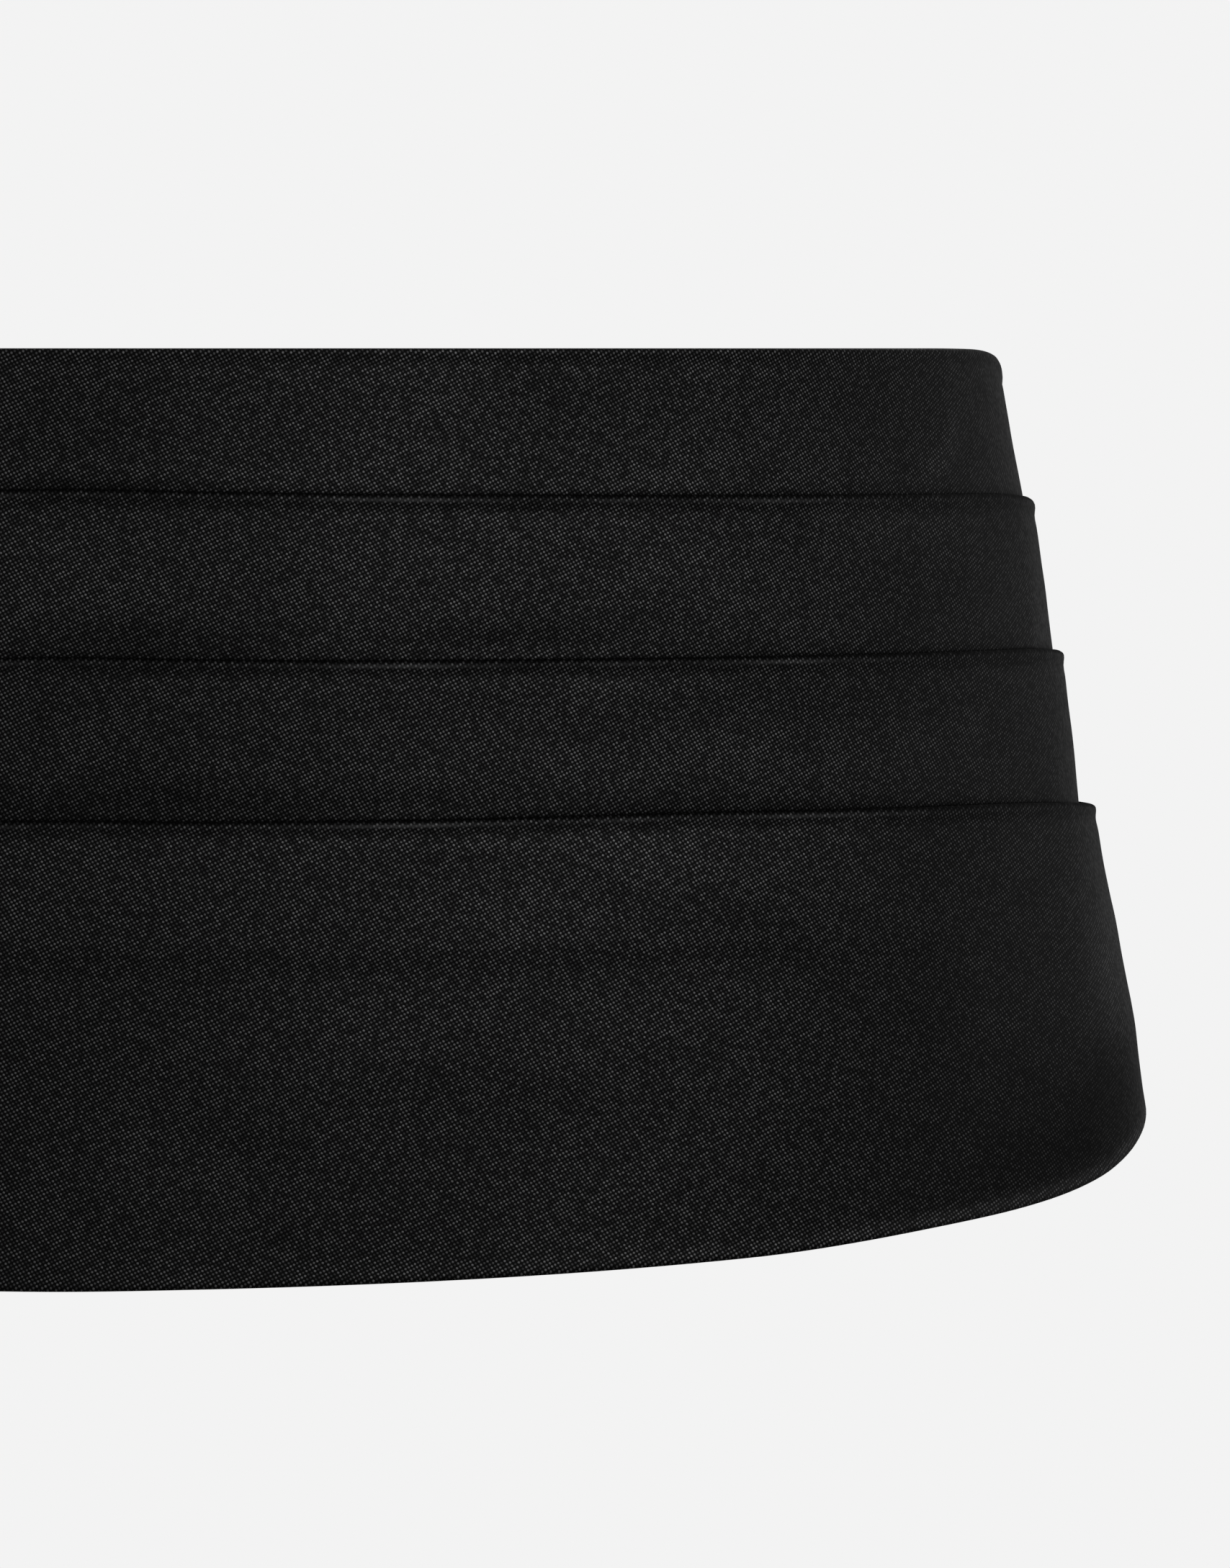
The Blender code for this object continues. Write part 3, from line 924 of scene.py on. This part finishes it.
# The slide: a flat grid of cells with two of them open, drawn out to its thickness and rounded
def makeBuckle():
    spacing, bar = buckle["barSpacing"], buckle["barWidth"]
    upright = [middle + side * bar / 2 for middle in (-spacing, 0, spacing) for side in (-1, 1)]
    slot = buckle["slotHeight"] / 2
    level = [-slot - buckle["rail"], -slot, slot, slot + buckle["rail"]]
    bm = bmesh.new()
    columns, rows = len(upright) - 1, len(level) - 1
    bmesh.ops.create_grid(bm, x_segments=columns, y_segments=rows, size=0.5)
    for vertex in bm.verts:
        column, row = round((vertex.co.x + 0.5) * columns), round((vertex.co.y + 0.5) * rows)
        vertex.co = (upright[column] * mm, 0, level[row] * mm)
    slots = [face for face in bm.faces if abs(face.calc_center_median().z) < slot * mm / 2
             and abs(abs(face.calc_center_median().x) - spacing / 2 * mm) < mm]
    bmesh.ops.delete(bm, geom=slots, context="FACES")
    drawn = bmesh.ops.extrude_face_region(bm, geom=list(bm.faces))["geom"]
    bmesh.ops.translate(bm, vec=(0, buckle["thickness"] * mm, 0),
                        verts=[item for item in drawn if isinstance(item, bmesh.types.BMVert)])
    bmesh.ops.translate(bm, vec=(0, -buckle["thickness"] / 2 * mm, 0), verts=bm.verts)
    bmesh.ops.recalc_face_normals(bm, faces=bm.faces)
    upwards = [edge for edge in bm.edges if abs(edge.verts[0].co.y - edge.verts[1].co.y) > mm / 2]
    corners = [edge for edge in upwards if abs(edge.verts[0].co.x) > (upright[-1] - bar / 2) * mm
               and abs(edge.verts[0].co.z) > (level[-1] - bar / 2) * mm]
    bmesh.ops.bevel(bm, geom=corners, offset=buckle["corner"] * mm, segments=buckle["cornerSegments"],
                    profile=0.5, affect="EDGES", material=-1)
    tilt = Matrix.Rotation(math.atan(waist["frontFlare"]), 4, "X")
    bmesh.ops.transform(bm, verts=bm.verts, matrix=tilt)
    centre = onWaist(centreBack, waist["strapLevel"], barStand)
    bmesh.ops.translate(bm, vec=Vector(centre), verts=bm.verts)
    piece = addObject("slideBuckle", bm, nickel)
    softenEdges(piece, "rounded metal", buckle).harden_normals = True
    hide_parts("slide_buckle")
    return piece


buckleSlide = makeBuckle()
print("buckle made")

# Sewing: short stitches, half sunk in the cloth
stitch = {
    "length": 1.9,
    "pitch": 2.5,
    "width": 0.42,
    "height": 0.3,
    "wobble": 0.06,
    "inset": 1.6,
    "tailRows": 3.0,
    "hemPitch": 7.0,
    "hemSlant": 1.2,
    "faces": (8, 5),
    "pointsDown": 12,
    "pointsAcross": 8,
    "hemPoints": 600,
}
draws = random.Random(7)


# One row of stitches along given points, each with the direction that the cloth faces there
def stitchRow(bm, points, facing, pitch, slant=0.0):
    lengths = np.concatenate([[0], np.cumsum(np.linalg.norm(np.diff(points, axis=0), axis=1))]) / mm
    count = max(1, int(lengths[-1] / pitch))
    start = (lengths[-1] - (count - 1) * pitch) / 2
    for i in range(count):
        at = start + i * pitch
        spots = [np.array([np.interp(at + shift, lengths, points[:, axis]) for axis in range(3)])
                 for shift in (-0.5, 0, 0.5)]
        up = Vector([np.interp(at, lengths, facing[:, axis]) for axis in range(3)]).normalized()
        ahead = Vector(spots[2] - spots[0]).normalized()
        side = up.cross(ahead).normalized()
        lean = slant + draws.uniform(-stitch["wobble"], stitch["wobble"])
        ahead = (ahead + side * lean).normalized()
        turned = Matrix((ahead, up.cross(ahead), up)).transposed().to_4x4()
        halves = [stitch[measure] / 2 * mm for measure in ("length", "width", "height")]
        place = Matrix.Translation(Vector(spots[1])) @ turned @ Matrix.Diagonal((*halves, 1))
        bmesh.ops.create_uvsphere(bm, u_segments=stitch["faces"][0], v_segments=stitch["faces"][1],
                                  radius=1.0, matrix=place)


# The direction away from the waist
def outwardAt(along, depth, stand):
    near, far = onWaist(along, depth, stand), onWaist(along, depth, np.asarray(stand) + 1.0)
    facing = far - near
    return facing / np.linalg.norm(facing, axis=-1, keepdims=True)


def strapRow(bm, places, depths, stands):
    along = centreBack - places
    stitchRow(bm, onWaist(along, depths, stands), outwardAt(along, depths, stands), stitch["pitch"])


def makeStrapStitches():
    bm = bmesh.new()
    level, half, inset = waist["strapLevel"], strap["width"] / 2, stitch["inset"]
    down = np.linspace(level - half + inset, level + half - inset, stitch["pointsDown"])
    outer, inner = panelEnd + strap["overPanel"] - inset, panelEnd + inset
    across = np.linspace(outer, inner, stitch["pointsAcross"])
    face = sewnStand + strap["thickness"] / 2
    for side in (-1, 1):
        for place in (outer, inner):
            strapRow(bm, side * place, down, face)
        for depth in (down[0], down[-1]):
            strapRow(bm, side * across, depth, face)
    tail = -strap["tailEnd"] + inset
    for place in (tail, tail + stitch["tailRows"]):
        stand = layerStep + strap["thickness"] / 2 + patches(creaseColumns, strapCreases, place, down)
        strapRow(bm, place, down, stand)
    return addObject("strapStitches", bm, thread)


# Slanted hand stitches inside, over the raw edges of the two turned hems
def makeHemStitches():
    bm = bmesh.new()
    reach = front["rows"][-1][0] - strap["overPanel"]
    along = np.linspace(-reach, reach, stitch["hemPoints"])
    lines = foldLines(along)
    for band, depth in ((0, lines[0] + front["hem"]), (3, lines[4] - front["hem"])):
        stand = faceStand(band, along, depth, lines) - front["foldGap"] - front["clothThickness"] / 2
        inwards = -outwardAt(along, depth, stand)
        stitchRow(bm, onWaist(along, depth, stand), inwards, stitch["hemPitch"], stitch["hemSlant"])
    return addObject("hemStitches", bm, thread)


strapStitches = makeStrapStitches()
hemStitches = makeHemStitches()
print("sewing done")

# Studio: a pale floor, a pale surround, soft lights, and the camera level with the top edge
studio = {
    "backdrop": 0.896,  # what the camera sees behind the cloth
    "skyLight": 0.24,
    "groundLight": 0.10,
    "skyRange": (-0.5, 0.4),
    "floorDrop": 0.2,
    "floorRadius": 1.4,
    "floorSides": 96,
    "floorPaint": (0.8, 0.8, 0.8, 1.0),
    "floorRoughness": 0.9,
    "floorGlow": 0.33,
    "cameraDistance": 2.1,
    "nearest": 0.05,
    "lens": 347.0,
    "aimRight": 0.0764,
    "aimDown": 0.0605,
    # Place, width, height, power
    "lights": {
        "key": ((0.8, -1.3, 0.85), 1.2, 0.9, 7.0),
        "fill": ((-1.5, -1.3, 0.5), 1.2, 1.2, 3.0),
        "overhead": ((0.0, 0.1, 1.8), 1.6, 1.6, 9.0),
        "backRight": ((1.0, 1.1, 1.4), 0.8, 0.8, 6.5),
        "backLeft": ((-1.1, 0.9, 1.2), 0.8, 0.8, 5.0),
    },
}


# The surround lights the cloth more from above than from below, and the camera sees it as one pale tone
def makeWorld():
    world = bpy.data.worlds.new("studio")
    bpy.context.scene.world = world
    world.use_nodes = True
    tree = world.node_tree
    direction = tree.nodes.new("ShaderNodeTexCoord").outputs["Generated"]
    parts = tree.nodes.new("ShaderNodeSeparateXYZ")
    tree.links.new(direction, parts.inputs[0])
    height = Number(tree, parts.outputs[2]).eased(*studio["skyRange"])
    light = height * (studio["skyLight"] - studio["groundLight"]) + studio["groundLight"]
    seen = Number(tree, tree.nodes.new("ShaderNodeLightPath").outputs["Is Camera Ray"])
    level = seen * studio["backdrop"] + (1 - seen) * light
    tree.links.new(level.socket, tree.nodes["Background"].inputs["Color"])


def makeStudio():
    scene = bpy.context.scene
    scene.view_settings.view_transform = "Standard"
    makeWorld()
    bm = bmesh.new()
    bmesh.ops.create_circle(bm, cap_ends=True, radius=studio["floorRadius"], segments=studio["floorSides"])
    bmesh.ops.translate(bm, vec=(0, 0, cadBox[0][2] - studio["floorDrop"]), verts=bm.verts)
    mesh = bpy.data.meshes.new("floor")
    bm.to_mesh(mesh)
    bm.free()
    floor = bpy.data.objects.new("floor", mesh)
    scene.collection.objects.link(floor)
    paint = Finish("pale floor", {
        "Base Color": studio["floorPaint"],
        "Roughness": studio["floorRoughness"],
        "Emission Color": (1.0, 1.0, 1.0, 1.0),
        "Emission Strength": studio["floorGlow"],
    })
    mesh.materials.append(paint.material)
    floor.visible_diffuse = False
    floor.visible_glossy = False

    for name, (place, width, height, power) in studio["lights"].items():
        lamp = bpy.data.lights.new(name, "AREA")
        lamp.shape = "RECTANGLE"
        lamp.size, lamp.size_y, lamp.energy = width, height, power
        light = bpy.data.objects.new(name, lamp)
        light.location = place
        light.rotation_euler = (-Vector(place)).to_track_quat("-Z", "Y").to_euler()
        scene.collection.objects.link(light)

    camera = bpy.data.objects.new("camera", bpy.data.cameras.new("camera"))
    scene.collection.objects.link(camera)
    topEdge = waist["strapLevel"] * mm
    eye = Vector((0, -studio["cameraDistance"], topEdge))
    aim = Vector((studio["aimRight"], 0, topEdge - studio["aimDown"]))
    camera.location = eye
    camera.rotation_euler = (aim - eye).to_track_quat("-Z", "Y").to_euler()
    camera.data.lens = studio["lens"]
    camera.data.clip_start = studio["nearest"]
    scene.camera = camera


makeStudio()
print("studio set")
